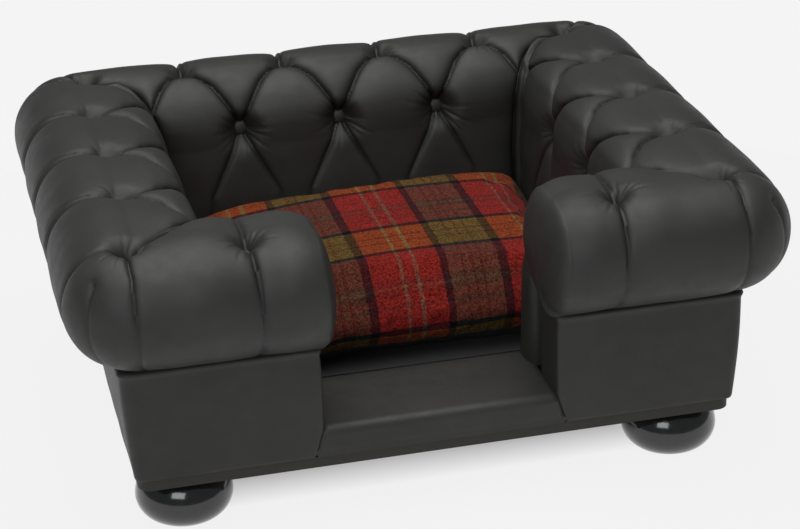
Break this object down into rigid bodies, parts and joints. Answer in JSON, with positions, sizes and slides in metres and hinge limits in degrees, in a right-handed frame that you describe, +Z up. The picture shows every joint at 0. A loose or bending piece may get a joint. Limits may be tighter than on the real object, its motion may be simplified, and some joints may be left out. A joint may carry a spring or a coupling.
{
  "type": "pet bed",
  "caption": "Deep-buttoned leather pet sofa with rolled walls all round, a low padded entrance, bun feet and a loose tartan cushion.",
  "frame": {"origin": "centre of the footprint on the floor", "axes": "+X to the right seen from the entrance, +Y to the back, +Z up"},
  "size_m": [0.75, 0.64, 0.3295],
  "materials": {
    "leather": "soft satin grain, black",
    "tartan": "woven wool check in red, ochre, olive and navy",
    "base_cloth": "matt black cloth",
    "lining": "matt black platform cloth",
    "board": "dark stained plywood",
    "gloss_black": "turned, gloss black lacquer",
    "ply": "birch plywood",
    "timber": "planed softwood",
    "foam": "upholstery foam",
    "steel": "zinc plated"
  },
  "bodies": {
    "bed": {"base_board": "board", "back_wall": "ply", "left_wall": "ply", "right_wall": "ply", "front_left_wall": "ply", "front_right_wall": "ply", "left_jamb_board": "ply", "right_jamb_board": "ply", "back_rail": "timber", "left_rail": "timber", "right_rail": "timber", "front_left_rail": "timber", "front_right_rail": "timber", "corner_blocks": "timber", "deck_battens": "timber", "deck_board": "ply", "deck_lining": "lining", "left_jamb_facing": "leather", "right_jamb_facing": "leather", "back_foam": "foam", "left_foam": "foam", "right_foam": "foam", "front_left_foam": "foam", "front_right_foam": "foam", "back_cover": "leather", "left_arm_cover": "leather", "right_arm_cover": "leather", "front_left_cover": "leather", "front_right_cover": "leather", "back_panel": "leather", "left_panel": "leather", "right_panel": "leather", "front_left_panel": "leather", "front_right_panel": "leather", "step_block": "timber", "step_foam": "foam", "step_cover": "leather", "foot_front_left": "gloss_black", "foot_front_right": "gloss_black", "foot_back_left": "gloss_black", "foot_back_right": "gloss_black", "foot_bolts": "steel", "tee_nuts": "steel", "back_buttons": "leather", "left_arm_buttons": "leather", "right_arm_buttons": "leather", "front_left_button": "leather", "front_right_button": "leather", "corner_buttons": "leather"},
    "cushion": {"cushion_core": "foam", "cushion_base": "base_cloth", "cushion_cover": "tartan", "cushion_zip": "base_cloth"}
  },
  "joints": [
    {"name": "cushion_lift", "type": "slide", "parent": "bed", "child": "cushion", "axis": [0, 0, 1], "range_m": [0, 0.25]}
  ]
}
